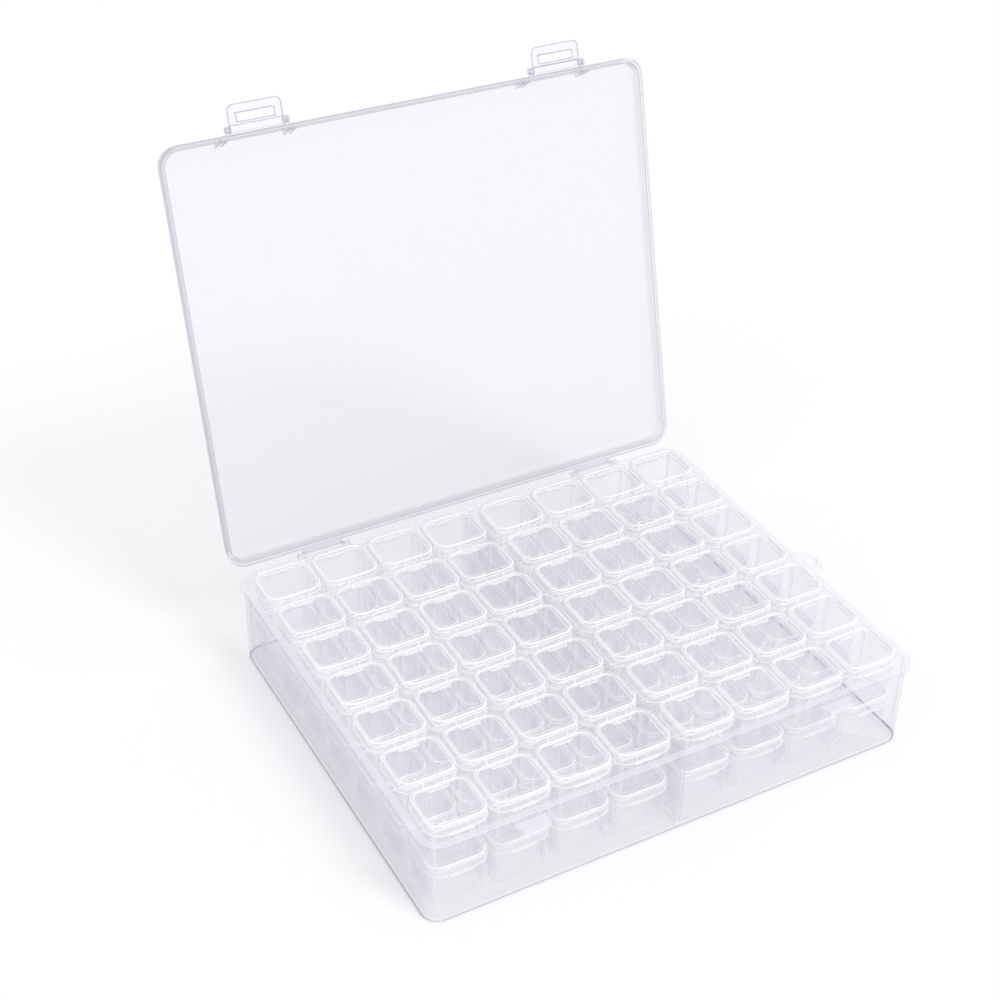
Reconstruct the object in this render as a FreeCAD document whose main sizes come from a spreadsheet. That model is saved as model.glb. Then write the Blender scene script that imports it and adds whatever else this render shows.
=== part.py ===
import FreeCAD, Part
import os
import re
import Sketcher

# A two-bay bead storage box with a hinged lid, two swing latches and two layers of snap-lid jars.
# Frame: origin at the middle of the tray's underside, +X along the hinge, +Y to the hinge, +Z up.
# The lid stands open, as it does when the jars are in use.

# Driving sizes, in millimetres and degrees.
SIZES = {
    # jar lids, seen from above
    "jar_lid_length": 25.1,
    "jar_lid_depth": 23.2,
    "jar_lid_corner": 6.0,
    "jar_lid_skirt": 4.7,
    "jar_lid_flange": 2.2,
    "jar_lid_wall": 0.9,
    "frame_side": 2.0,
    "frame_front": 2.6,
    "recess_depth": 1.2,
    "recess_corner": 4.0,
    "tab_length": 10.5,
    "tab_drop": 1.2,
    "tab_back": 0.3,
    "film_length": 12.0,
    "film_wall": 0.6,
    "film_ledge": 1.2,
    # cups under them
    "cup_height": 18.6,
    "cup_wall": 0.9,
    "cup_floor": 1.0,
    "cup_corner": 5.0,
    "cup_draft": 1.2,
    "cup_play": 0.2,
    "web_thickness": 1.2,
    "web_relief": 0.3,
    # how the strips lie in the tray
    "jars_in_strip": 4,
    "row_count": 7,
    "jar_gap": 0.6,
    "row_gap": 0.7,
    "wall_play": 1.8,
    "partition_play": 0.85,
    "front_play": 2.8,
    "back_play": 1.8,
    # tray
    "tray_wall": 1.3,
    "tray_floor": 1.2,
    "tray_corner": 7.0,
    "foot_round": 0.8,
    "partition_wall": 1.6,
    "partition_drop": 1.0,
    "jars_above_rim": 3.5,
    "rim_reach": 1.5,
    "rim_thickness": 2.2,
    # hanging tab on the right rim
    "hang_tab_length": 14.0,
    "hang_tab_reach": 6.6,
    "hang_tab_corner": 4.5,
    "hang_tab_forward": 12.9,
    "hang_hole_radius": 2.6,
    "hang_hole_reach": 3.2,
    # lid
    "lid_headroom": 4.2,
    "lid_wall": 1.0,
    "lid_round": 3.0,
    "lip_reach": 1.0,
    "lip_thickness": 1.8,
    "lid_open_angle": 104.0,
    "gusset_thickness": 0.9,
    "gusset_depth": 3.0,
    "gusset_gap": 1.6,
    # lid hinge
    "hinge_inset": 41.45,
    "hinge_reach": 1.9,
    "hinge_drop": 1.6,
    "knuckle_length": 18.0,
    "knuckle_radius": 1.6,
    "knuckle_arm": 1.2,
    "pin_radius": 0.8,
    "pin_play": 0.15,
    "ear_radius": 1.6,
    "ear_thickness": 2.5,
    "side_play": 0.3,
    "snap_width": 1.2,
    # latches and their catches
    "latch_inset": 41.45,
    "latch_length": 22.5,
    "latch_thickness": 1.5,
    "latch_corner": 2.6,
    "latch_reach": 2.0,
    "latch_rise": 1.0,
    "latch_bar": 3.6,
    "latch_barrel_radius": 1.5,
    "latch_pin_radius": 0.8,
    "latch_ear_thickness": 1.6,
    "latch_open_angle": 90.0,
    "slot_length": 15.6,
    "slot_play": 0.4,
    "slot_room": 1.4,
    "catch_root": 14.0,
    "catch_tip": 11.4,
    "catch_thickness": 1.6,
    "catch_drop": 1.9,
    "catch_play": 1.05,
    "catch_lip": 0.5,
    "catch_lip_depth": 1.4,
    # one overlap joins what is moulded together, one overrun clears every cut
    "embed": 0.4,
    "overrun": 1.0,
}

# Sizes that follow from the driving ones.
DERIVED = {
    "facet_share": "2 - sqrt(2)",
    "jar_pitch": "jar_lid_length + jar_gap",
    "row_pitch": "jar_lid_depth + row_gap",
    "strip_reach": "(jars_in_strip - 1) / 2 * jar_pitch",
    "strip_length": "2 * strip_reach + jar_lid_length",
    "layer_height": "cup_height + jar_lid_flange",
    "jar_front": "jar_lid_depth / 2",
    "jar_hinge": "jar_lid_depth / 2 - film_wall",
    "cup_length": "jar_lid_length - 2 * jar_lid_wall - 2 * cup_play",
    "cup_depth": "jar_lid_depth - 2 * jar_lid_wall - 2 * cup_play",
    "cup_lean": "cup_height * tan(cup_draft)",
    "skirt_height": "jar_lid_skirt - jar_lid_flange",
    "web_place": "cup_depth / 2 - cup_corner - web_thickness / 2",
    "web_height": "cup_height - skirt_height - web_relief",
    "bay_length": "strip_length + wall_play + partition_play",
    "strip_middle": "(partition_wall + strip_length) / 2 + partition_play",
    "row_shift": "(front_play - back_play) / 2",
    "bay_depth": "row_count * jar_lid_depth + (row_count - 1) * row_gap + front_play + back_play",
    "tray_length": "2 * bay_length + partition_wall + 2 * tray_wall",
    "tray_depth": "bay_depth + 2 * tray_wall",
    "tray_height": "tray_floor + 2 * layer_height - jars_above_rim",
    "rim_length": "tray_length + 2 * rim_reach",
    "rim_depth": "tray_depth + 2 * rim_reach",
    "rim_corner": "tray_corner + rim_reach",
    "hinge_spread": "rim_length / 2 - hinge_inset",
    "latch_spread": "rim_length / 2 - latch_inset",
    "bay_corner": "tray_corner - tray_wall",
    "lid_depth": "jars_above_rim + lid_headroom + lid_wall",
    "lid_length": "rim_length - 2 * lip_reach",
    "lid_corner": "rim_corner - lip_reach",
    "hinge_place": "rim_depth / 2 + hinge_reach",
    "hinge_height": "tray_height - hinge_drop",
    "hinge_length": "knuckle_length + 2 * side_play + 2 * ear_thickness",
    "latch_front": "hinge_reach + rim_depth + latch_reach",
    "latch_height": "hinge_drop + latch_rise",
    "latch_room": "latch_length + 2 * side_play",
    "latch_span": "latch_room + 2 * latch_ear_thickness",
    "slot_top": "latch_rise + catch_drop - slot_play",
    "slot_end": "latch_rise + catch_drop + catch_thickness + slot_room",
    "latch_drop": "slot_end + latch_bar",
    "catch_height": "tray_height - catch_drop",
    "catch_lip_place": "latch_reach + latch_thickness / 2 + catch_play",
    "catch_reach": "catch_lip_place + catch_lip_depth",
}

doc = FreeCAD.newDocument("bead_storage_box")
sheet = doc.addObject("Spreadsheet::Sheet", "Sizes")
for row, (alias, value) in enumerate(SIZES.items(), start=1):
    sheet.set(f"A{row}", alias)
    sheet.set(f"B{row}", str(value))
    sheet.setAlias(f"B{row}", alias)
for row, (alias, formula) in enumerate(DERIVED.items(), start=1):
    sheet.set(f"D{row}", alias)
    sheet.set(f"E{row}", "=" + formula)
    sheet.setAlias(f"E{row}", alias)
doc.recompute()


def bound(formula):
    """The formula with each size read from the sheet."""
    known = SIZES.keys() | DERIVED.keys()
    return re.sub(r"[a-z_]+", lambda word: f"Sizes.{word[0]}" if word[0] in known else word[0], formula)


def value_of(formula):
    return float(sheet.evalExpression(bound(formula)))


def new_body(name):
    body = doc.addObject("PartDesign::Body", name)
    body.AllowCompound = True
    return body


def origin_feature(body, role):
    return next(feature for feature in body.Origin.OriginFeatures if feature.Role == role)


def new_sketch(body, name, plane, height):
    sketch = body.newObject("Sketcher::SketchObject", name)
    sketch.AttachmentSupport = [(origin_feature(body, plane), "")]
    sketch.MapMode = "FlatFace"
    sketch.setExpression("AttachmentOffset.Base.z", bound(height))
    return sketch


def fix_point(sketch, geometry, end, point):
    """Ties one end of a sketched line or arc to two formulas, measured from the sketch's origin."""
    for axis, formula in zip(("DistanceX", "DistanceY"), point):
        rule = Sketcher.Constraint(axis, -1, 1, geometry, end, value_of(formula))
        number = sketch.addConstraint(rule)
        sketch.setExpression(f"Constraints[{number}]", bound(formula))


def polygon(body, name, plane, points, height="0"):
    """A closed outline of straight lines through points given as formulas."""
    sketch = new_sketch(body, name, plane, height)
    places = [FreeCAD.Vector(value_of(x), value_of(y), 0) for x, y in points]
    count = len(points)
    for number, place in enumerate(places):
        sketch.addGeometry(Part.LineSegment(place, places[(number + 1) % count]))
    for number, point in enumerate(points):
        sketch.addConstraint(Sketcher.Constraint("Coincident", number, 2, (number + 1) % count, 1))
        fix_point(sketch, number, 1, point)
    return sketch


def rectangle(body, name, plane, left, right, low, high, height="0"):
    return polygon(body, name, plane, [(left, low), (right, low), (right, high), (left, high)], height)


def rounded(body, name, plane, left, right, low, high, corner, height="0"):
    """A rectangle whose four corners are tangent arcs."""
    sketch = new_sketch(body, name, plane, height)
    x0, x1, y0, y1, r = (value_of(formula) for formula in (left, right, low, high, corner))
    vector = FreeCAD.Vector
    runs = [
        (vector(x0 + r, y0, 0), vector(x1 - r, y0, 0)),
        (vector(x1, y0 + r, 0), vector(x1, y1 - r, 0)),
        (vector(x1 - r, y1, 0), vector(x0 + r, y1, 0)),
        (vector(x0, y1 - r, 0), vector(x0, y0 + r, 0)),
    ]
    for start, end in runs:
        sketch.addGeometry(Part.LineSegment(start, end))
    centres = [(x1 - r, y0 + r), (x1 - r, y1 - r), (x0 + r, y1 - r), (x0 + r, y0 + r)]
    turn = FreeCAD.Units.Quantity("90 deg").getValueAs("rad").Value
    for number, (x, y) in enumerate(centres):
        circle = Part.Circle(vector(x, y, 0), vector(0, 0, 1), r)
        sketch.addGeometry(Part.ArcOfCircle(circle, (number - 1) * turn, number * turn))
    for number in range(4):
        sketch.addConstraint(Sketcher.Constraint("Tangent", number, 2, 4 + number, 1))
        sketch.addConstraint(Sketcher.Constraint("Tangent", 4 + number, 2, (number + 1) % 4, 1))
    for number in range(1, 4):
        sketch.addConstraint(Sketcher.Constraint("Equal", 4, 4 + number))
    for number in (0, 2):
        sketch.addConstraint(Sketcher.Constraint("Horizontal", number))
    for number in (1, 3):
        sketch.addConstraint(Sketcher.Constraint("Vertical", number))
    ties = [("DistanceX", 3, left), ("DistanceX", 1, right), ("DistanceY", 0, low), ("DistanceY", 2, high)]
    for axis, line, formula in ties:
        rule = sketch.addConstraint(Sketcher.Constraint(axis, -1, 1, line, 1, value_of(formula)))
        sketch.setExpression(f"Constraints[{rule}]", bound(formula))
    rule = sketch.addConstraint(Sketcher.Constraint("Radius", 4, r))
    sketch.setExpression(f"Constraints[{rule}]", bound(corner))
    return sketch


def circle(body, name, plane, centre, radius, height="0"):
    sketch = new_sketch(body, name, plane, height)
    place = FreeCAD.Vector(value_of(centre[0]), value_of(centre[1]), 0)
    sketch.addGeometry(Part.Circle(place, FreeCAD.Vector(0, 0, 1), value_of(radius)))
    fix_point(sketch, 0, 3, centre)
    rule = sketch.addConstraint(Sketcher.Constraint("Radius", 0, value_of(radius)))
    sketch.setExpression(f"Constraints[{rule}]", bound(radius))
    return sketch


def faceted(half_length, front, back, corner, middle="0"):
    """An outline for a repeated piece: each round corner is the one flat facet tangent to it."""
    centre, half_depth = f"({back} - ({front})) / 2", f"({back} + {front}) / 2"
    setback = f"facet_share * ({corner})"
    points = []
    for side, end, order in ((1, 1, 1), (-1, 1, -1), (-1, -1, 1), (1, -1, -1)):
        for across, along in ((0, 1), (1, 0))[::order]:
            x = f"{middle} + {side} * ({half_length} - {across} * {setback})"
            y = f"{centre} + {end} * ({half_depth} - {along} * {setback})"
            points.append((x, y))
    return points


def add(body, kind, name, sketch, length, reverse=False, both_ways=False):
    """Pads or pockets a sketch by a formula; a pocket has to take something away."""
    before = body.Shape.Volume if body.Tip else 0
    feature = body.newObject("PartDesign::" + kind, name)
    feature.Profile = sketch
    feature.Reversed = reverse
    if both_ways:
        feature.SideType = "Symmetric"
    feature.setExpression("Length", bound(length))
    doc.recompute()
    change = feature.Shape.Volume - before
    if change * (1 if kind == "Pad" else -1) <= 0:
        raise RuntimeError(f"{name} changes nothing")
    return feature


def pad(body, name, sketch, length, **ways):
    return add(body, "Pad", name, sketch, length, **ways)


def pocket(body, name, sketch, length, **ways):
    return add(body, "Pocket", name, sketch, length, **ways)


def lean(body, name, base, faces, neutral, reverse):
    """Gives upright faces their moulding draft, about a face that keeps its outline."""
    feature = body.newObject("PartDesign::Draft", name)
    feature.Base = (base, faces)
    feature.NeutralPlane = (base, [neutral])
    feature.Reversed = reverse
    feature.setExpression("Angle", bound("cup_draft"))
    doc.recompute()
    return feature


def rounded_edges(body, name, base, radius, wanted):
    """Fillets the edges whose boxes are wanted."""
    feature = body.newObject("PartDesign::Fillet", name)
    edges = enumerate(base.Shape.Edges, start=1)
    feature.Base = (base, [f"Edge{number}" for number, edge in edges if wanted(edge.BoundBox)])
    feature.setExpression("Radius", bound(radius))
    doc.recompute()
    return feature


def mirrored(body, name, originals, plane="YZ_Plane"):
    feature = body.newObject("PartDesign::Mirrored", name)
    feature.Originals = originals
    feature.MirrorPlane = (origin_feature(body, plane), [""])
    body.Tip = feature
    doc.recompute()
    return feature


def in_line(body, name, pitch, count):
    """Repeats the whole body along X."""
    feature = body.newObject("PartDesign::LinearPattern", name)
    feature.TransformMode = "Whole shape"
    feature.Direction = (origin_feature(body, "X_Axis"), [""])
    feature.setExpression("Length", bound(f"({count} - 1) * {pitch}"))
    feature.setExpression("Occurrences", bound(count))
    body.Tip = feature
    doc.recompute()
    return feature


def upright_faces(shape, outermost):
    """The names of a cup's upright faces: those on its outermost outline, or those inside it."""
    names = []
    for number, face in enumerate(shape.Faces, start=1):
        normal = face.normalAt(0, 0)
        outward = normal.dot(face.CenterOfMass - shape.BoundBox.Center) > 0
        upright = abs(normal.z) < 1 / 2
        if upright and outward == outermost:
            names.append(f"Face{number}")
    return names


def face_at(shape, height):
    """The name of the flat face at a height."""
    for number, face in enumerate(shape.Faces, start=1):
        level = face.BoundBox
        flat = level.ZLength < Part.Precision.confusion() * 10
        if flat and abs(level.ZMin - height) < level.XLength / 1000:
            return f"Face{number}"
    raise RuntimeError("no face at that height")


def make_jar_strip():
    """Four tapered cups joined by thin webs, with a hinge ledge behind each; the floor is at zero."""
    body = new_body("jar_strip_master")
    first = "-strip_reach"
    outline = faceted("cup_length / 2", "cup_depth / 2", "cup_depth / 2", "cup_corner", first)
    cup = pad(body, "cup", polygon(body, "cup_outline", "XY_Plane", outline), "cup_height")
    top = face_at(cup.Shape, value_of("cup_height"))
    lean(body, "cup_taper", cup, upright_faces(cup.Shape, True), top, True)
    half = "cup_length / 2 - cup_wall"
    depth = "cup_depth / 2 - cup_wall"
    outline = faceted(half, depth, depth, "cup_corner - cup_wall", first)
    sketch = polygon(body, "cavity_outline", "XY_Plane", outline, "cup_height")
    cavity = pocket(body, "cavity", sketch, "cup_height - cup_floor")
    top = face_at(cavity.Shape, value_of("cup_height"))
    lean(body, "cavity_taper", cavity, upright_faces(cavity.Shape, False), top, False)
    ledge = [
        ("cup_depth / 2 - embed", "cup_height - film_ledge"),
        ("jar_lid_depth / 2", "cup_height - film_ledge"),
        ("jar_lid_depth / 2", "layer_height"),
        ("jar_hinge", "layer_height"),
        ("jar_hinge", "cup_height"),
        ("cup_depth / 2 - embed", "cup_height"),
    ]
    sketch = polygon(body, "hinge_ledge_outline", "YZ_Plane", ledge, first)
    pad(body, "hinge_ledge", sketch, "film_length", both_ways=True)
    in_line(body, "four_cups", "jar_pitch", "jars_in_strip")
    reach = "((jar_pitch - cup_length) / 2 + cup_lean + embed / 2)"
    webs = []
    for side, place in (("front", "-web_place"), ("back", "web_place")):
        middle = "-strip_reach + jar_pitch / 2"
        low, high = f"{place} - web_thickness / 2", f"{place} + web_thickness / 2"
        sketch = rectangle(
            body, f"{side}_web_outline", "XY_Plane", f"{middle} - {reach}", f"{middle} + {reach}", low, high
        )
        webs.append(pad(body, f"{side}_web", sketch, "web_height"))
    pattern = body.newObject("PartDesign::LinearPattern", "webs_in_line")
    pattern.Originals = webs
    pattern.Direction = (origin_feature(body, "X_Axis"), [""])
    pattern.setExpression("Length", bound("(jars_in_strip - 2) * jar_pitch"))
    pattern.setExpression("Occurrences", bound("jars_in_strip - 1"))
    body.Tip = pattern
    doc.recompute()
    return body


def make_jar_lids():
    """The four lids of a strip, shut: a skirt over the cup's rim, a raised frame and a thumb tab."""
    body = new_body("jar_lids_master")
    first = "-strip_reach"
    outline = faceted("jar_lid_length / 2", "jar_front", "jar_hinge", "jar_lid_corner", first)
    sketch = polygon(body, "cap_outline", "XY_Plane", outline, "cup_height - skirt_height")
    pad(body, "cap", sketch, "jar_lid_skirt")
    half = "jar_lid_length / 2 - jar_lid_wall"
    outline = faceted(half, "jar_front - jar_lid_wall", "jar_hinge + jar_lid_corner",
                      "jar_lid_corner - jar_lid_wall", first)
    sketch = polygon(body, "skirt_room_outline", "XY_Plane", outline, "cup_height - skirt_height")
    pocket(body, "skirt_room", sketch, "skirt_height", reverse=True)
    left, right = f"{first} - jar_lid_length / 2 - overrun", f"{first} + jar_lid_length / 2 + overrun"
    sketch = rectangle(body, "hinge_relief_outline", "XY_Plane", left, right,
                       "cup_depth / 2 - cup_corner", "jar_hinge + overrun", "cup_height - skirt_height")
    pocket(body, "hinge_relief", sketch, "skirt_height", reverse=True)
    outline = faceted("jar_lid_length / 2 - frame_side", "jar_front - frame_front",
                      "jar_hinge - frame_front", "recess_corner", first)
    sketch = polygon(body, "recess_outline", "XY_Plane", outline, "layer_height")
    pocket(body, "recess", sketch, "recess_depth")
    sketch = rectangle(body, "tab_outline", "XY_Plane",
                       f"{first} - tab_length / 2", f"{first} + tab_length / 2",
                       "-jar_front + tab_back", "-jar_front + jar_lid_wall", "cup_height - skirt_height")
    pad(body, "thumb_tab", sketch, "tab_drop", reverse=True)
    in_line(body, "four_lids", "jar_pitch", "jars_in_strip")
    return body


def make_latch():
    """A latch hanging shut from its pins, with the slot that drops over a catch."""
    body = new_body("latch_master")
    sketch = circle(body, "barrel_outline", "YZ_Plane", ("0", "0"), "latch_barrel_radius")
    pad(body, "barrel", sketch, "latch_length", both_ways=True)
    sketch = circle(body, "pin_outline", "YZ_Plane", ("0", "0"), "latch_pin_radius")
    pad(body, "pins", sketch, "latch_span", both_ways=True)
    sketch = rectangle(body, "plate_outline", "XZ_Plane",
                       "-latch_length / 2", "latch_length / 2", "-latch_drop", "0")
    plate = pad(body, "plate", sketch, "latch_thickness", both_ways=True)
    rounded_edges(body, "plate_corners", plate, "latch_corner",
                  lambda box: box.YLength > box.XLength and box.ZMax < value_of("-slot_end"))
    sketch = rectangle(body, "slot_outline", "XZ_Plane",
                       "-slot_length / 2", "slot_length / 2", "-slot_end", "-slot_top")
    pocket(body, "slot", sketch, "latch_thickness", both_ways=True)
    return body


def make_base_tray():
    """The lower box: walls, rim, partition, catches in front, hanging tab at the right, ears behind."""
    body = new_body("base_tray")
    half, deep = "tray_length / 2", "tray_depth / 2"
    sketch = rounded(body, "wall_outline", "XY_Plane", f"-{half}", half, f"-{deep}", deep, "tray_corner")
    block = pad(body, "walls", sketch, "tray_height")
    rounded_edges(body, "foot", block, "foot_round", lambda box: box.ZMax < value_of("foot_round"))
    half, deep = "rim_length / 2", "rim_depth / 2"
    sketch = rounded(body, "rim_outline", "XY_Plane", f"-{half}", half, f"-{deep}", deep, "rim_corner",
                     "tray_height - rim_thickness")
    pad(body, "rim", sketch, "rim_thickness")
    sketch = rounded(body, "hang_tab_outline", "XY_Plane",
                     f"{half} - hang_tab_corner", f"{half} + hang_tab_reach",
                     "-hang_tab_forward - hang_tab_length / 2", "-hang_tab_forward + hang_tab_length / 2",
                     "hang_tab_corner", "tray_height - rim_thickness")
    pad(body, "hang_tab", sketch, "rim_thickness")
    sketch = circle(body, "hang_hole_outline", "XY_Plane", (f"{half} + hang_hole_reach", "-hang_tab_forward"),
                    "hang_hole_radius", "tray_height")
    pocket(body, "hang_hole", sketch, "rim_thickness")
    half, deep = "(tray_length / 2 - tray_wall)", "bay_depth / 2"
    sketch = rounded(body, "bays_outline", "XY_Plane", f"-{half}", half, f"-{deep}", deep,
                     "bay_corner", "tray_height")
    pocket(body, "bays", sketch, "tray_height - tray_floor")
    sketch = rectangle(body, "partition_outline", "XY_Plane", "-partition_wall / 2", "partition_wall / 2",
                       f"-{deep} - embed", f"{deep} + embed", "tray_floor - embed")
    pad(body, "partition", sketch, "tray_height - partition_drop - tray_floor + embed")
    add_catches(body)
    add_hinge_ears(body)
    return body


def add_catches(body):
    """Tapered catches below the rim, each with a lip that keeps its latch on."""
    root, tip = "-tray_depth / 2 + embed", "-rim_depth / 2 - catch_reach"
    outline = [
        ("latch_spread - catch_tip / 2", tip),
        ("latch_spread + catch_tip / 2", tip),
        ("latch_spread + catch_root / 2", "-rim_depth / 2"),
        ("latch_spread + catch_root / 2", root),
        ("latch_spread - catch_root / 2", root),
        ("latch_spread - catch_root / 2", "-rim_depth / 2"),
    ]
    sketch = polygon(body, "catch_outline", "XY_Plane", outline, "catch_height - catch_thickness")
    catch = pad(body, "catch", sketch, "catch_thickness")
    sketch = rectangle(body, "catch_lip_outline", "XY_Plane", "latch_spread - catch_tip / 2",
                       "latch_spread + catch_tip / 2", tip, "-rim_depth / 2 - catch_lip_place",
                       "catch_height")
    lip = pad(body, "catch_lip", sketch, "catch_lip")
    mirrored(body, "left_catch", [catch, lip])


def add_hinge_ears(body):
    """Two pairs of ears behind the rim, with a snap-in slot above each pin hole."""
    axis = ("hinge_place", "hinge_height")
    sketch = circle(body, "ear_outline", "YZ_Plane", axis, "ear_radius", "hinge_spread")
    round_end = pad(body, "ear_rounds", sketch, "hinge_length", both_ways=True)
    sketch = rectangle(body, "ear_root_outline", "YZ_Plane", "rim_depth / 2 - embed", "hinge_place",
                       "hinge_height - ear_radius", "tray_height", "hinge_spread")
    root = pad(body, "ear_roots", sketch, "hinge_length", both_ways=True)
    room = "(knuckle_length / 2 + side_play)"
    sketch = rectangle(body, "knuckle_room_outline", "XY_Plane",
                       f"hinge_spread - {room}", f"hinge_spread + {room}",
                       "rim_depth / 2", "hinge_place + ear_radius + overrun", "hinge_height")
    gap = pocket(body, "knuckle_room", sketch, "2 * ear_radius + 2 * overrun", both_ways=True)
    sketch = circle(body, "pin_hole_outline", "YZ_Plane", axis, "pin_radius + pin_play", "hinge_spread")
    hole = pocket(body, "pin_hole", sketch, "hinge_length + overrun", both_ways=True)
    reach = "(hinge_length / 2 + overrun)"
    sketch = rectangle(body, "snap_slot_outline", "XY_Plane",
                       f"hinge_spread - {reach}", f"hinge_spread + {reach}",
                       "hinge_place - snap_width / 2", "hinge_place + snap_width / 2", "hinge_height")
    slot = pocket(body, "snap_slot", sketch, "ear_radius + overrun", reverse=True)
    mirrored(body, "left_ears", [round_end, root, gap, hole, slot])


def make_box_lid():
    """The upper half, drawn shut with the hinge axis as its origin."""
    body = new_body("box_lid")
    half = "rim_length / 2"
    front, back = "-hinge_reach - rim_depth", "-hinge_reach"
    sketch = rounded(body, "lip_outline", "XY_Plane", f"-{half}", half, front, back,
                     "rim_corner", "hinge_drop")
    pad(body, "lip", sketch, "lip_thickness")
    half = "lid_length / 2"
    sketch = rounded(body, "shell_outline", "XY_Plane", f"-{half}", half,
                     f"{front} + lip_reach", f"{back} - lip_reach",
                     "lid_corner", "hinge_drop")
    shell = pad(body, "shell", sketch, "lid_depth")
    top = value_of("hinge_drop + lid_depth - lid_wall")
    rounded_edges(body, "panel_round", shell, "lid_round", lambda box: box.ZMin > top)
    half = "(lid_length / 2 - lid_wall)"
    sketch = rounded(body, "hollow_outline", "XY_Plane", f"-{half}", half, f"{front} + lip_reach + lid_wall",
                     f"{back} - lip_reach - lid_wall", "lid_corner - lid_wall", "hinge_drop")
    hollow = pocket(body, "hollow", sketch, "lid_depth - lid_wall", reverse=True)
    under = value_of("hinge_drop + lip_thickness")
    ceiling = value_of("hinge_drop + lid_depth - lid_wall / 2")
    side = value_of("lid_length / 2 - lid_wall / 2")
    rounded_edges(body, "hollow_round", hollow, "lid_round - lid_wall",
                  lambda box: under < box.ZMin and box.ZMax < ceiling
                  and box.ZLength < value_of("embed") and box.XMax < side)
    add_gussets(body)
    add_latch_ears(body)
    add_knuckles(body)
    return body


def add_gussets(body):
    """Pairs of gussets that stiffen the front skirt beside each latch."""
    wall, panel = "-hinge_reach - rim_depth + lip_reach + lid_wall", "hinge_drop + lid_depth - lid_wall"
    outline = [
        (f"{wall} - embed", "hinge_drop"),
        (wall, "hinge_drop"),
        (f"{wall} + gusset_depth", panel),
        (f"{wall} + gusset_depth", f"{panel} + embed"),
        (f"{wall} - embed", f"{panel} + embed"),
    ]
    near = "latch_span / 2"
    gussets = []
    for side in (-1, 1):
        for step in range(2):
            place = f"latch_spread + {side} * ({near} + {step} * (gusset_thickness + gusset_gap))"
            name = f"gusset_{len(gussets)}"
            sketch = polygon(body, f"{name}_outline", "YZ_Plane", outline, place)
            gussets.append(pad(body, name, sketch, "gusset_thickness", both_ways=True))
    mirrored(body, "left_gussets", gussets)


def add_latch_ears(body):
    """Ears in front of the lip that carry the latches' pins."""
    axis = ("-latch_front", "latch_height")
    lip = "-hinge_reach - rim_depth"
    sketch = circle(body, "latch_ear_outline", "YZ_Plane", axis, "latch_barrel_radius", "latch_spread")
    round_end = pad(body, "latch_ear_rounds", sketch, "latch_span", both_ways=True)
    sketch = rectangle(body, "latch_ear_root_outline", "YZ_Plane", "-latch_front", f"{lip} + embed",
                       "hinge_drop", "hinge_drop + lip_thickness", "latch_spread")
    root = pad(body, "latch_ear_roots", sketch, "latch_span", both_ways=True)
    sketch = rectangle(body, "latch_room_outline", "XY_Plane", "latch_spread - latch_room / 2",
                       "latch_spread + latch_room / 2", "-latch_front - latch_barrel_radius - overrun", lip,
                       "latch_height")
    gap = pocket(body, "latch_room", sketch, "2 * latch_barrel_radius + 2 * overrun", both_ways=True)
    sketch = circle(body, "latch_hole_outline", "YZ_Plane", axis,
                    "latch_pin_radius + pin_play", "latch_spread")
    hole = pocket(body, "latch_hole", sketch, "latch_span + overrun", both_ways=True)
    mirrored(body, "left_latch_ears", [round_end, root, gap, hole])


def add_knuckles(body):
    """Knuckles with moulded pins that snap into the tray's ears."""
    sketch = circle(body, "knuckle_outline", "YZ_Plane", ("0", "0"), "knuckle_radius", "hinge_spread")
    knuckle = pad(body, "knuckle", sketch, "knuckle_length", both_ways=True)
    outline = [
        ("-hinge_reach - embed", "hinge_drop"),
        ("-hinge_reach + side_play", "hinge_drop"),
        ("-hinge_reach + side_play", "0"),
        ("0", "0"),
        ("0", "hinge_drop + knuckle_arm"),
        ("-hinge_reach - embed", "hinge_drop + knuckle_arm"),
    ]
    sketch = polygon(body, "arm_outline", "YZ_Plane", outline, "hinge_spread")
    arm = pad(body, "arm", sketch, "knuckle_length", both_ways=True)
    sketch = circle(body, "hinge_pin_outline", "YZ_Plane", ("0", "0"), "pin_radius", "hinge_spread")
    pins = pad(body, "hinge_pins", sketch, "hinge_length", both_ways=True)
    mirrored(body, "left_knuckle", [knuckle, arm, pins])


def turn_about_hinge(piece, angle):
    """Opens a piece that was drawn shut by turning it about the hinge's direction."""
    turn = FreeCAD.Rotation(FreeCAD.Vector(-1, 0, 0), value_of(angle))
    piece.Placement = FreeCAD.Placement(FreeCAD.Vector(), turn)
    piece.setExpression("Placement.Rotation.Angle", bound(angle))


def place(piece, x, y, z):
    for axis, formula in zip("xyz", (x, y, z)):
        piece.setExpression(f"Placement.Base.{axis}", bound(formula))


def copy_of(master, label):
    link = doc.addObject("App::Link", label)
    link.LinkedObject = master
    link.Label = label
    return link


def place_latches(master):
    """Both latches swung up on the open lid."""
    out, up = "(-latch_front)", "latch_height"
    y = f"hinge_place + {out} * cos(lid_open_angle) + {up} * sin(lid_open_angle)"
    z = f"hinge_height - {out} * sin(lid_open_angle) + {up} * cos(lid_open_angle)"
    latches = []
    for side, sign in (("left", -1), ("right", 1)):
        latch = copy_of(master, f"{side}_latch")
        turn_about_hinge(latch, "lid_open_angle + latch_open_angle")
        place(latch, f"{sign} * latch_spread", y, z)
        latches.append(latch)
    return latches


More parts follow.
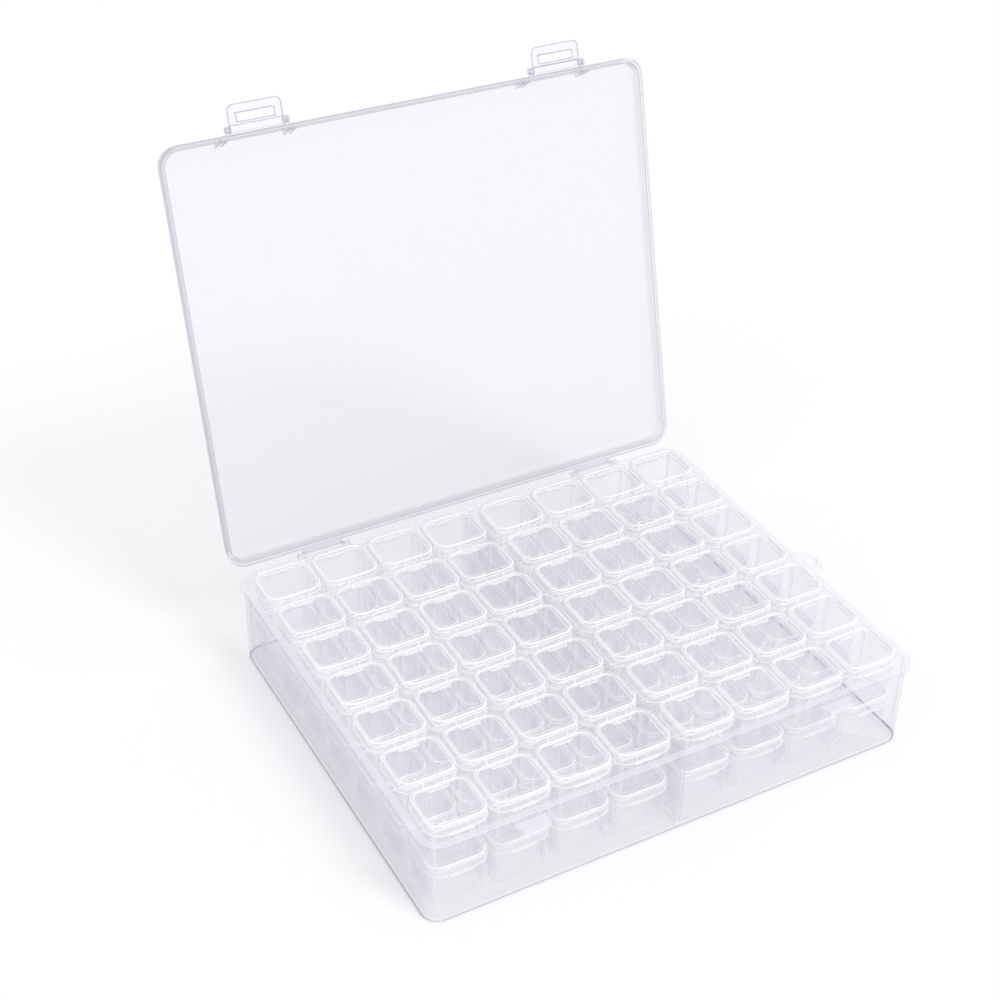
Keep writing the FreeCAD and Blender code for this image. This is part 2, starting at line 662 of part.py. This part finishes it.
def place_jars(strip_master, lids_master):
    """Two layers of strips in both bays; the last row faces the hinge, so its thumb tabs are behind."""
    jars = []
    rows = round(value_of("row_count"))
    for layer, level in (("lower", "tray_floor"), ("upper", "tray_floor + layer_height")):
        for side, sign in (("left", -1), ("right", 1)):
            for row in range(1, rows + 1):
                for master, kind in ((strip_master, "jars"), (lids_master, "lids")):
                    piece = copy_of(master, f"{layer}_{side}_{kind}_{row}")
                    if row == rows:
                        piece.Placement.Rotation = FreeCAD.Rotation(FreeCAD.Vector(0, 0, 1), 180)
                    y = f"({row} - (row_count + 1) / 2) * row_pitch + row_shift"
                    place(piece, f"{sign} * strip_middle", y, level)
                    jars.append(piece)
    return jars


tray = make_base_tray()
lid = make_box_lid()
turn_about_hinge(lid, "lid_open_angle")
place(lid, "0", "hinge_place", "hinge_height")
pieces = [tray, lid] + place_latches(make_latch()) + place_jars(make_jar_strip(), make_jar_lids())
doc.recompute()

for item in doc.Objects:
    if "Invalid" in item.State or "Error" in item.State:
        raise RuntimeError(f"{item.Label} did not build: {item.State}")

os.makedirs("parts", exist_ok=True)
for piece in pieces:
    shape = Part.getShape(piece)
    if shape.isNull() or not shape.isValid():
        raise RuntimeError(f"{piece.Label} has no valid shape")
    shape.exportStep(f"parts/{piece.Label}.step")
print(f"{len(pieces)} pieces written")
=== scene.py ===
import math

import bmesh
import bpy
from mathutils import Matrix, Vector


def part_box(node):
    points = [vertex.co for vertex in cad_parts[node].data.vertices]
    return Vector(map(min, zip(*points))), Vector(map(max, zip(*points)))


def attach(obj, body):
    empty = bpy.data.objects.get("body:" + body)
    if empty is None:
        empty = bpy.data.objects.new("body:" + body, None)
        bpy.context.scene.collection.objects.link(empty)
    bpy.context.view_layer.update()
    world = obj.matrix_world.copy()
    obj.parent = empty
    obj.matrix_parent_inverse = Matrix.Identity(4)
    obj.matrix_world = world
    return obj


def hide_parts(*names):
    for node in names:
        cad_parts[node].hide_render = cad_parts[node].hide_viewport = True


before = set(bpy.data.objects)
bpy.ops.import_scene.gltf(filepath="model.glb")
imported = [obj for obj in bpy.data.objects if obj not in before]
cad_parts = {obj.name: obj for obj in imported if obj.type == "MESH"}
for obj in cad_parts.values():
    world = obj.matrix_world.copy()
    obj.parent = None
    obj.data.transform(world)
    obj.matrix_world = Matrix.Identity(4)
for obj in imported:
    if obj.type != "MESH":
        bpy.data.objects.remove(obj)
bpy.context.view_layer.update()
scene = bpy.context.scene
scene.view_settings.view_transform = "Standard"
# a look through the box crosses many thin walls
scene.cycles.transparent_max_bounces = 96
scene.cycles.max_bounces = 4
scene.cycles.diffuse_bounces = 2
scene.cycles.glossy_bounces = 2

MM = 0.001


# Node helpers: each takes and returns sockets.

def calculate(tree, operation, first, second):
    """A Math node; second is a socket or a number."""
    node = tree.nodes.new("ShaderNodeMath")
    node.operation = operation
    tree.links.new(first, node.inputs[0])
    if isinstance(second, float):
        node.inputs[1].default_value = second
    else:
        tree.links.new(second, node.inputs[1])
    return node.outputs["Value"]


def between(tree, value, low, high):
    """Low where the value is 0, high where it is 1."""
    node = tree.nodes.new("ShaderNodeMapRange")
    node.inputs["To Min"].default_value = low
    node.inputs["To Max"].default_value = high
    tree.links.new(value, node.inputs["Value"])
    return node.outputs["Result"]


def noise(tree, place, scale, detail):
    node = tree.nodes.new("ShaderNodeTexNoise")
    node.inputs["Scale"].default_value = scale
    node.inputs["Detail"].default_value = detail
    tree.links.new(place, node.inputs["Vector"])
    return node.outputs["Fac"]


# Materials: clear moulded polypropylene, denser where a wall is seen edge-on.

CLOUD_SCALE, CLOUD_DETAIL, CLOUD_TINT = 38.0, 1.0, 1.04
GLOSSIER, DULLER = 0.8, 1.25
RIPPLE_SCALE, RIPPLE_DETAIL, RIPPLE_DEPTH = 120.0, 2.0, 0.0002
FACING_BLEND, FACING_POWER = 0.5, 3.0
PLASTIC_IOR = 1.49


def clear_plastic(name, colour, least, most, roughness, waviness, shadow):
    """Least and most are its alpha face-on and edge-on, and shadow is the share of it that lamps meet."""
    mat = bpy.data.materials.new(name)
    mat.use_nodes = True
    tree = mat.node_tree
    nodes, links = tree.nodes, tree.links
    shader = nodes["Principled BSDF"]
    shader.inputs["IOR"].default_value = PLASTIC_IOR
    place = nodes.new("ShaderNodeTexCoord").outputs["Object"]

    clouds = noise(tree, place, CLOUD_SCALE, CLOUD_DETAIL)
    tint = nodes.new("ShaderNodeMixRGB")
    tint.inputs["Color1"].default_value = (*colour, 1)
    tint.inputs["Color2"].default_value = (*(min(1, c * CLOUD_TINT) for c in colour), 1)
    links.new(clouds, tint.inputs["Fac"])
    links.new(tint.outputs["Color"], shader.inputs["Base Color"])
    gloss = between(tree, clouds, roughness * GLOSSIER, roughness * DULLER)
    links.new(gloss, shader.inputs["Roughness"])

    bump = nodes.new("ShaderNodeBump")
    bump.inputs["Strength"].default_value = waviness
    bump.inputs["Distance"].default_value = RIPPLE_DEPTH
    links.new(noise(tree, place, RIPPLE_SCALE, RIPPLE_DETAIL), bump.inputs["Height"])
    links.new(bump.outputs["Normal"], shader.inputs["Normal"])

    weight = nodes.new("ShaderNodeLayerWeight")
    weight.inputs["Blend"].default_value = FACING_BLEND
    edge_on = calculate(tree, "POWER", weight.outputs["Facing"], FACING_POWER)
    dense = between(tree, edge_on, least, most)
    ray = nodes.new("ShaderNodeLightPath").outputs
    light = calculate(tree, "MAXIMUM", ray["Is Shadow Ray"], ray["Is Diffuse Ray"])
    share = between(tree, light, 1.0, shadow)
    links.new(calculate(tree, "MULTIPLY", dense, share), shader.inputs["Alpha"])
    return mat


JAR = clear_plastic("jar_plastic", (0.83, 0.83, 0.94), 0.018, 0.62, 0.22, 0.03, 0.25)
# painted highlight: near-opaque white on the jars' rounded rims and edges, tabs and brackets
JAR_EDGE_HIGHLIGHT = clear_plastic("jar_edge_painted_highlight", (0.99, 0.99, 1.0), 0.80, 0.97, 0.25, 0.03, 0.25)
JAR_FLOOR = clear_plastic("jar_floor_plastic", (0.86, 0.85, 0.92), 0.03, 0.10, 0.22, 0.03, 0.25)
# painted highlight: a white vertical line down the middle of each cup corner
JAR_CORNER_HIGHLIGHT = clear_plastic("jar_corner_painted_highlight", (0.98, 0.98, 1.0), 0.30, 0.70, 0.22, 0.03, 0.25)
# the lid's frame: denser than the window for its thicker plastic, and whiter as a painted highlight
JAR_FRAME = clear_plastic("jar_lid_plastic", (0.90, 0.90, 0.98), 0.11, 0.80, 0.18, 0.03, 0.25)
JAR_WINDOW = clear_plastic("jar_window_plastic", (0.72, 0.72, 0.85), 0.04, 0.50, 0.12, 0.02, 0.25)
TRAY = clear_plastic("tray_plastic", (0.64, 0.64, 0.76), 0.014, 0.60, 0.15, 0.03, 0.7)
# painted shade: dark lavender-grey on the tray's eased edges and foot, for the dark lines along them
TRAY_EDGE_SHADE = clear_plastic("tray_edge_painted_shade", (0.32, 0.33, 0.43), 0.80, 0.97, 0.20, 0.03, 0.7)
# painted highlight: a pale, denser band on the tray's rim and catches
TRAY_RIM_HIGHLIGHT = clear_plastic("tray_rim_painted_highlight", (0.90, 0.90, 0.98), 0.45, 0.90, 0.20, 0.03, 0.7)
# painted shade: the tray's floor greyer and denser than its walls
TRAY_FLOOR_SHADE = clear_plastic("tray_floor_painted_shade", (0.62, 0.62, 0.72), 0.08, 0.30, 0.20, 0.03, 0.7)
LID = clear_plastic("box_lid_plastic", (0.50, 0.50, 0.59), 0.070, 0.90, 0.12, 0.03, 1.7)
# painted shade: dark blue-lavender on the eased edges of the lid and the latches
LID_EDGE_SHADE = clear_plastic("box_lid_edge_painted_shade", (0.38, 0.42, 0.64), 0.75, 0.97, 0.15, 0.03, 1.0)
LATCH = clear_plastic("latch_plastic", (0.60, 0.60, 0.67), 0.06, 0.90, 0.15, 0.04, 1.0)


# Meshes, in millimetres from the middle of a strip's underside.

# the edge and corner kinds carry painted highlights
FLAT, HIGHLIT_EDGE, FLOOR, HIGHLIT_CORNER = range(4)    # kinds of face, in the order of a mesh's materials
CORNER_STEPS, MID_CORNER = 6, (2, 3)    # faces round a corner, and the middle two of them
SMOOTH_BELOW = math.radians(38)


def ring(half_x, low_y, high_y, radius, z, middle):
    """The outline of a rounded rectangle at height z, counter-clockwise from the right."""
    points = []
    corners = [(half_x, high_y), (-half_x, high_y), (-half_x, low_y), (half_x, low_y)]
    for turn, (x, y) in enumerate(corners):
        cx = middle + x - math.copysign(radius, x)
        cy = y - radius if y == high_y else y + radius
        for step in range(CORNER_STEPS + 1):
            angle = math.radians(90) * (turn + step / CORNER_STEPS)
            points.append((cx + radius * math.cos(angle), cy + radius * math.sin(angle), z))
    return points


class Shell:
    """Points and faces gathered from rings, bars and walls, each face with its kind."""

    def __init__(self):
        self.points, self.faces, self.kinds = [], [], []

    def face(self, corners, kind):
        self.faces.append(tuple(corners))
        self.kinds.append(kind)

    def skin(self, rings, kinds, upright=()):
        """Faces between rings, of the kind given for each level, and a floor face at both ends.

        On upright levels the middle of each corner is painted with a white highlight."""
        count, start = len(rings[0]), len(self.points)
        for loop in rings:
            self.points += loop
        for level in range(len(rings) - 1):
            here, there = start + level * count, start + (level + 1) * count
            for i in range(count):
                j = (i + 1) % count
                bend = i % (CORNER_STEPS + 1) in MID_CORNER
                self.face((here + i, here + j, there + j, there + i),
                          HIGHLIT_CORNER if bend and level in upright else kinds.get(level, FLAT))
        self.face(range(start + count - 1, start - 1, -1), FLOOR)
        last = start + (len(rings) - 1) * count
        self.face(range(last, last + count), FLOOR)

    def bar(self, outline, low, high, kind=FLAT):
        """A profile in Y and Z, drawn out along X."""
        count, start = len(outline), len(self.points)
        self.points += [(low, y, z) for y, z in outline] + [(high, y, z) for y, z in outline]
        for i in range(count):
            j = (i + 1) % count
            self.face((start + i, start + j, start + count + j, start + count + i), kind)
        self.face(range(start + count - 1, start - 1, -1), kind)
        self.face(range(start + count, start + 2 * count), kind)

    def wall(self, outer, inner, low, high):
        """An upright strip between two open lines of points, with a painted highlight on its ends and lower
        edge.
        """
        count, start = len(outer), len(self.points)
        for line, z in ((outer, low), (outer, high), (inner, high), (inner, low)):
            self.points += [(x, y, z) for x, y in line]
        for side in range(4):
            here, there = start + side * count, start + (side + 1) % 4 * count
            underside = side == 3
            for i in range(count - 1):
                self.face((here + i, here + i + 1, there + i + 1, there + i), HIGHLIT_EDGE if underside else FLAT)
        for end in (0, count - 1):
            self.face([start + side * count + end for side in range(4)], HIGHLIT_EDGE)

    def mesh(self, name, *materials):
        data = bpy.data.meshes.new(name)
        data.from_pydata([tuple(c * MM for c in p) for p in self.points], [], self.faces)
        for material in materials:
            data.materials.append(material)
        data.polygons.foreach_set("material_index", self.kinds)
        data.update()
        data.shade_smooth()
        data.set_sharp_from_angle(angle=SMOOTH_BELOW)
        return data


def block(low_y, high_y, low_z, high_z):
    """A rectangular profile for a bar."""
    return [(low_y, low_z), (high_y, low_z), (high_y, high_z), (low_y, high_z)]


PITCH, JARS, ROWS = 25.7, 4, 7
MIDDLES = [(n - (JARS - 1) / 2) * PITCH for n in range(JARS)]

CUP_HALF_LENGTH, CUP_HALF_DEPTH, CUP_HEIGHT = 11.45, 10.5, 18.6
CUP_CORNER, CUP_LEAST_CORNER = 3.6, 0.6
CUP_WALL, CUP_FLOOR, CUP_LEAN = 0.9, 1.0, 0.39
# the rounded top of each cup's wall gets the painted edge highlight
CUP_KINDS = {0: FLOOR, 1: FLOOR, 2: FLOOR, 4: HIGHLIT_EDGE, 5: HIGHLIT_EDGE, 6: HIGHLIT_EDGE, 8: FLOOR, 9: FLOOR, 10: FLOOR}
# the middle of each corner of the outer and inner wall gets the painted corner highlight
CUP_UPRIGHT = (3, 7)

FILM_HALF_LENGTH = 6.0
FILM_WALL = [(10.1, 17.4), (11.6, 17.4), (11.6, 20.8), (11.0, 20.8), (11.0, 18.6), (10.1, 18.6)]
FILM_BRACKET_HALF_LENGTH = 4.4
FILM_BRACKET_FOOT = block(10.15, 10.75, 17.4, 17.95)
FILM_BRACKET_LEG = [(10.15, 17.95), (10.75, 17.95), (11.3, 20.4), (11.05, 20.4)]
FILM_BRACKET_LEGS, FILM_BRACKET_BREADTH = (-4.4, 3.85), 0.55

WEB_PLACES, WEB_HALF_THICKNESS = (-4.9, 4.9), 0.6
WEB_HALF_LENGTH, WEB_HEIGHT = 1.9, 15.8


def cup_strip():
    """Four open cups with a film wall behind each, joined by webs."""
    shell = Shell()
    wall, floor, height = CUP_WALL, CUP_FLOOR, CUP_HEIGHT
    for middle in MIDDLES:
        def at(inset, z):
            inset += CUP_LEAN * (1 - z / CUP_HEIGHT)
            return ring(CUP_HALF_LENGTH - inset, -CUP_HALF_DEPTH + inset, CUP_HALF_DEPTH - inset,
                        max(CUP_CORNER - inset, CUP_LEAST_CORNER), z, middle)
        shell.skin([
            at(1.1, 0), at(0.5, 0.12), at(0.12, 0.5), at(0, 1.1),
            at(0, height - 0.15), at(0.15, height), at(wall - 0.1, height), at(wall, height - 0.1),
            at(wall, floor + 1.6), at(wall + 0.3, floor + 0.7), at(wall + 0.9, floor + 0.2),
            at(wall + 1.8, floor),
        ], CUP_KINDS, CUP_UPRIGHT)
        shell.bar(FILM_WALL, middle - FILM_HALF_LENGTH, middle + FILM_HALF_LENGTH)
        shell.bar(FILM_BRACKET_FOOT, middle - FILM_BRACKET_HALF_LENGTH, middle + FILM_BRACKET_HALF_LENGTH,
                  HIGHLIT_EDGE)
        for leg in FILM_BRACKET_LEGS:
            shell.bar(FILM_BRACKET_LEG, middle + leg, middle + leg + FILM_BRACKET_BREADTH, HIGHLIT_EDGE)
    for left, right in zip(MIDDLES, MIDDLES[1:]):
        gap = (left + right) / 2
        for place in WEB_PLACES:
            shell.bar(block(place - WEB_HALF_THICKNESS, place + WEB_HALF_THICKNESS, 0, WEB_HEIGHT),
                      gap - WEB_HALF_LENGTH, gap + WEB_HALF_LENGTH)
    return shell.mesh("cup_strip", JAR, JAR_EDGE_HIGHLIGHT, JAR_FLOOR, JAR_CORNER_HIGHLIGHT)


CAP_HALF_LENGTH, CAP_FRONT, CAP_BACK, CAP_CORNER = 12.55, -11.6, 11.0, 6.0
CAP_TOP = 20.8
WELL_HALF_LENGTH, WELL_FRONT, WELL_BACK, WELL_CORNER = 10.55, -9.0, 8.4, 4.0
# the lid's rounded outer and inner edges get the painted edge highlight
CAP_KINDS = {3: HIGHLIT_EDGE, 4: HIGHLIT_EDGE, 6: HIGHLIT_EDGE, 7: HIGHLIT_EDGE}

SKIRT_WALL, SKIRT_END = 0.9, 5.5
SKIRT_LOW, SKIRT_HIGH = 16.1, 18.65
PAST_THE_BACK = 8    # takes the skirt's back corners out of the way

TAB_HALF_LENGTH = 5.25
THUMB_TAB = [(-11.3, 15.0), (-11.15, 14.9), (-10.85, 14.9), (-10.7, 15.0), (-10.7, 16.15), (-11.3, 16.15)]

CAP_BRACKET_LOW, CAP_BRACKET_HIGH = 19.55, 20.05
CAP_BRACKET_BREADTH = 0.5
CAP_BRACKET_INNER, CAP_BRACKET_OUTER = 3.7, 4.2
CAP_BRACKET, TURNED_CAP_BRACKET = (8.3, 6.8), (-8.9, -7.4)


def lid_row(turned):
    """Four snap lids; the bracket in each window is on the side away from the box's front."""
    shell = Shell()
    inner, outer = CAP_BRACKET_INNER, CAP_BRACKET_OUTER
    for middle in MIDDLES:
        def at(inset, z):
            return ring(CAP_HALF_LENGTH - inset, CAP_FRONT + inset, CAP_BACK - inset, CAP_CORNER - inset,
                        z, middle)

        def well(inset, z):
            return ring(WELL_HALF_LENGTH - inset, WELL_FRONT + inset, WELL_BACK - inset, WELL_CORNER - inset,
                        z, middle)
        shell.skin([
            at(0.5, CUP_HEIGHT), at(0, CUP_HEIGHT), at(0.3, 20.0), at(0.45, 20.4), at(0.75, 20.7),
            at(1.15, CAP_TOP), well(-0.55, CAP_TOP), well(-0.2, 20.7), well(0, 20.4), well(0.05, 19.75),
            well(0.2, 19.6),
        ], CAP_KINDS)
        lines = []
        for inset in (0.0, SKIRT_WALL):
            loop = ring(CAP_HALF_LENGTH - inset, CAP_FRONT + inset, CAP_BACK + PAST_THE_BACK,
                        CAP_CORNER - inset, 0, middle)
            line = [(x, y) for x, y, _ in loop if y < 0]
            lines.append([(line[0][0], SKIRT_END)] + line + [(line[-1][0], SKIRT_END)])
        shell.wall(*lines, SKIRT_LOW, SKIRT_HIGH)
        shell.bar(THUMB_TAB, middle - TAB_HALF_LENGTH, middle + TAB_HALF_LENGTH, HIGHLIT_EDGE)
        far, near = TURNED_CAP_BRACKET if turned else CAP_BRACKET
        for end, low_x, high_x in ((near + math.copysign(CAP_BRACKET_BREADTH, near), -outer, outer),
                                   (far, -outer, -inner), (far, inner, outer)):
            shell.bar(block(min(near, end), max(near, end), CAP_BRACKET_LOW, CAP_BRACKET_HIGH),
                      middle + low_x, middle + high_x, HIGHLIT_EDGE)
    return shell.mesh("turned_lid_row" if turned else "lid_row", JAR_FRAME, JAR_EDGE_HIGHLIGHT, JAR_WINDOW)


CUPS, LIDS = cup_strip(), {turned: lid_row(turned) for turned in (False, True)}


def put(data, name, node, body, place, turned):
    """A piece in a node's place; a turned one faces the back."""
    piece = bpy.data.objects.new(name, data)
    scene.collection.objects.link(piece)
    piece.matrix_world = Matrix.Translation(place) @ Matrix.Rotation(math.pi if turned else 0, 4, "Z")
    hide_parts(node)
    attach(piece, body)


for layer in ("lower", "upper"):
    for side in ("left", "right"):
        for row in range(1, ROWS + 1):
            jars, lids = f"{layer}_{side}_jars_{row}", f"{layer}_{side}_lids_{row}"
            low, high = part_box(jars)
            turned = row == ROWS
            y = high[1] - CUP_HALF_DEPTH * MM if turned else low[1] + CUP_HALF_DEPTH * MM
            place = Vector(((low[0] + high[0]) / 2, y, low[2]))
            body = f"{layer}_{side}_strip_{row}"
            top = body if layer == "lower" else lids
            put(CUPS, f"{layer}_{side}_cups_{row}", jars, body, place, turned)
            put(LIDS[turned], f"{layer}_{side}_caps_{row}", lids, top, place, turned)


SAME_POINT = 0.00001
SAME_PLANE, SHARP, SMOOTH_MOULDING = (math.radians(a) for a in (2, 35, 14))
# slots: painted edge shade, painted rim highlight, painted highlight on the rim's edges, painted floor shade
SHADED_EDGE_FACE, RIM_HIGHLIGHT_FACE, RIM_EDGE_HIGHLIGHT_FACE, SHADED_FLOOR_FACE = range(1, 5)    # material slots after the plain one
LEVEL = 0.9                 # least upward part of a level face's normal
FOOT_SLOPE = (-0.97, -0.1)  # upward part of the normals in the rounding at the tray's foot
RIM_BAND, CATCH_REACH, FOOT_HEIGHT, FLOOR_HEIGHT = 0.5 * MM, 5.1 * MM, 0.9 * MM, 1.5 * MM


def soften(node, body, plain, edge, width, painted_light=()):
    """The node's own shape with its edges eased.

    Edge is the painted shade of the eased edges; painted_light holds the painted highlight of the tray's rim
    and catches and of the rim's edges, and the painted shade of the floor."""
    piece = bpy.data.objects.new(f"{node}_moulding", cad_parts[node].data.copy())
    scene.collection.objects.link(piece)
    piece.data.materials.clear()
    for material in (plain, edge, *painted_light):
        piece.data.materials.append(material)
    shape = bmesh.new()
    shape.from_mesh(piece.data)
    bmesh.ops.remove_doubles(shape, verts=shape.verts, dist=SAME_POINT)
    bmesh.ops.dissolve_limit(shape, angle_limit=SAME_PLANE, verts=shape.verts, edges=shape.edges)
    sharp = [e for e in shape.edges if len(e.link_faces) == 2 and e.calc_face_angle() > SHARP]
    bmesh.ops.bevel(shape, geom=sharp, offset=width * MM, segments=1, profile=0.5, affect="EDGES",
                    clamp_overlap=True, material=SHADED_EDGE_FACE)
    front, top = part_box(node)[0][1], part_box(node)[1][2]
    # paint highlight on the rim, its eased edges and the catches, and shade on the foot's rounding and the
    # floor
    for face in shape.faces if painted_light else ():
        middle, rise = face.calc_center_median(), face.normal.z
        on_rim = top - middle.z < RIM_BAND
        if on_rim and face.material_index == SHADED_EDGE_FACE:
            face.material_index = RIM_EDGE_HIGHLIGHT_FACE
        elif rise > LEVEL and on_rim or middle.y - front < CATCH_REACH:
            face.material_index = RIM_HIGHLIGHT_FACE
        elif middle.z < FOOT_HEIGHT and FOOT_SLOPE[0] < rise < FOOT_SLOPE[1]:
            face.material_index = SHADED_EDGE_FACE
        elif middle.z < FLOOR_HEIGHT and abs(rise) > LEVEL:
            face.material_index = SHADED_FLOOR_FACE
    shape.to_mesh(piece.data)
    shape.free()
    piece.data.shade_smooth()
    piece.data.set_sharp_from_angle(angle=SMOOTH_MOULDING)
    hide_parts(node)
    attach(piece, body)


soften("base_tray", "base_tray", TRAY, TRAY_EDGE_SHADE, 0.42, (TRAY_RIM_HIGHLIGHT, JAR_EDGE_HIGHLIGHT, TRAY_FLOOR_SHADE))
soften("box_lid", "box_lid", LID, LID_EDGE_SHADE, 0.35)
for side in ("left", "right"):
    soften(f"{side}_latch", f"{side}_latch", LATCH, LID_EDGE_SHADE, 0.2)


# Stage: a pale floor that runs out of view, soft light from the front and above.

FLOOR_COLOUR, FLOOR_ROUGHNESS, FLOOR_GLOW = (0.93, 0.93, 0.94, 1), 0.9, 0.07
FLOOR_REACH = 6.0
WHITE = (1, 1, 1, 1)


def floor_material():
    """A pale matt floor that looks a little lighter than its light alone makes it."""
    mat = bpy.data.materials.new("pale_floor")
    mat.use_nodes = True
    tree = mat.node_tree
    shader = tree.nodes["Principled BSDF"]
    shader.inputs["Base Color"].default_value = FLOOR_COLOUR
    shader.inputs["Roughness"].default_value = FLOOR_ROUGHNESS
    shader.inputs["Emission Color"].default_value = WHITE
    ray = tree.nodes.new("ShaderNodeLightPath").outputs
    seen = calculate(tree, "MAXIMUM", ray["Is Camera Ray"], ray["Is Glossy Ray"])
    seen = calculate(tree, "MAXIMUM", seen, ray["Is Transmission Ray"])
    glow = calculate(tree, "MULTIPLY", seen, FLOOR_GLOW)
    tree.links.new(glow, shader.inputs["Emission Strength"])
    return mat


floor_data = bpy.data.meshes.new("floor")
floor_corners = [(x * FLOOR_REACH, y * FLOOR_REACH, 0) for x, y in ((-1, -1), (1, -1), (1, 1), (-1, 1))]
floor_data.from_pydata(floor_corners, [], [(0, 1, 2, 3)])
floor_data.materials.append(floor_material())
floor = bpy.data.objects.new("floor", floor_data)
scene.collection.objects.link(floor)

AMBIENT_COLOUR, AMBIENT_STRENGTH = (0.985, 0.985, 1.0, 1), 0.66

world = bpy.data.worlds.new("studio")
scene.world = world
world.use_nodes = True
nodes, links = world.node_tree.nodes, world.node_tree.links
ambient = nodes["Background"]
ambient.inputs["Color"].default_value = AMBIENT_COLOUR
ambient.inputs["Strength"].default_value = AMBIENT_STRENGTH
backdrop = nodes.new("ShaderNodeBackground")
backdrop.inputs["Color"].default_value = WHITE
path = nodes.new("ShaderNodeLightPath")
mix = nodes.new("ShaderNodeMixShader")
links.new(path.outputs["Is Camera Ray"], mix.inputs[0])
links.new(ambient.outputs[0], mix.inputs[1])
links.new(backdrop.outputs[0], mix.inputs[2])
links.new(mix.outputs[0], nodes["World Output"].inputs["Surface"])


def far_light(name, towards, strength, softness):
    """Even light from far away, so that the floor stays equally pale; softness is its width in degrees."""
    data = bpy.data.lights.new(name, "SUN")
    data.energy = strength
    data.angle = math.radians(softness)
    lamp = bpy.data.objects.new(name, data)
    lamp.rotation_euler = Vector(towards).to_track_quat("-Z", "Y").to_euler()
    scene.collection.objects.link(lamp)


far_light("key", (-0.36, 0.78, -1.0), 1.25, 20)
far_light("fill", (0.7, 0.6, -1.0), 0.25, 60)


# Camera at the photograph's place.

CAMERA_PLACE = Vector((-0.30165, -0.47916, 0.49472))
FOCAL_LENGTH, SENSOR_WIDTH, NEAREST = 64.64, 36.0, 0.01
AZIMUTH, ELEVATION, ROLL = (math.radians(a) for a in (-29.33, 35.08, 1.12))

back = Vector((math.sin(AZIMUTH) * math.cos(ELEVATION),
               -math.cos(AZIMUTH) * math.cos(ELEVATION),
               math.sin(ELEVATION)))
flat = Vector((math.cos(AZIMUTH), math.sin(AZIMUTH), 0))
upward = back.cross(flat)
right = flat * math.cos(ROLL) + upward * math.sin(ROLL)
up = upward * math.cos(ROLL) - flat * math.sin(ROLL)
lens = bpy.data.cameras.new("camera")
lens.lens, lens.sensor_width = FOCAL_LENGTH, SENSOR_WIDTH
lens.clip_start = NEAREST
camera = bpy.data.objects.new("camera", lens)
turn = Matrix((right, up, back)).transposed().to_4x4()
camera.matrix_world = Matrix.Translation(CAMERA_PLACE) @ turn
scene.collection.objects.link(camera)
scene.camera = camera
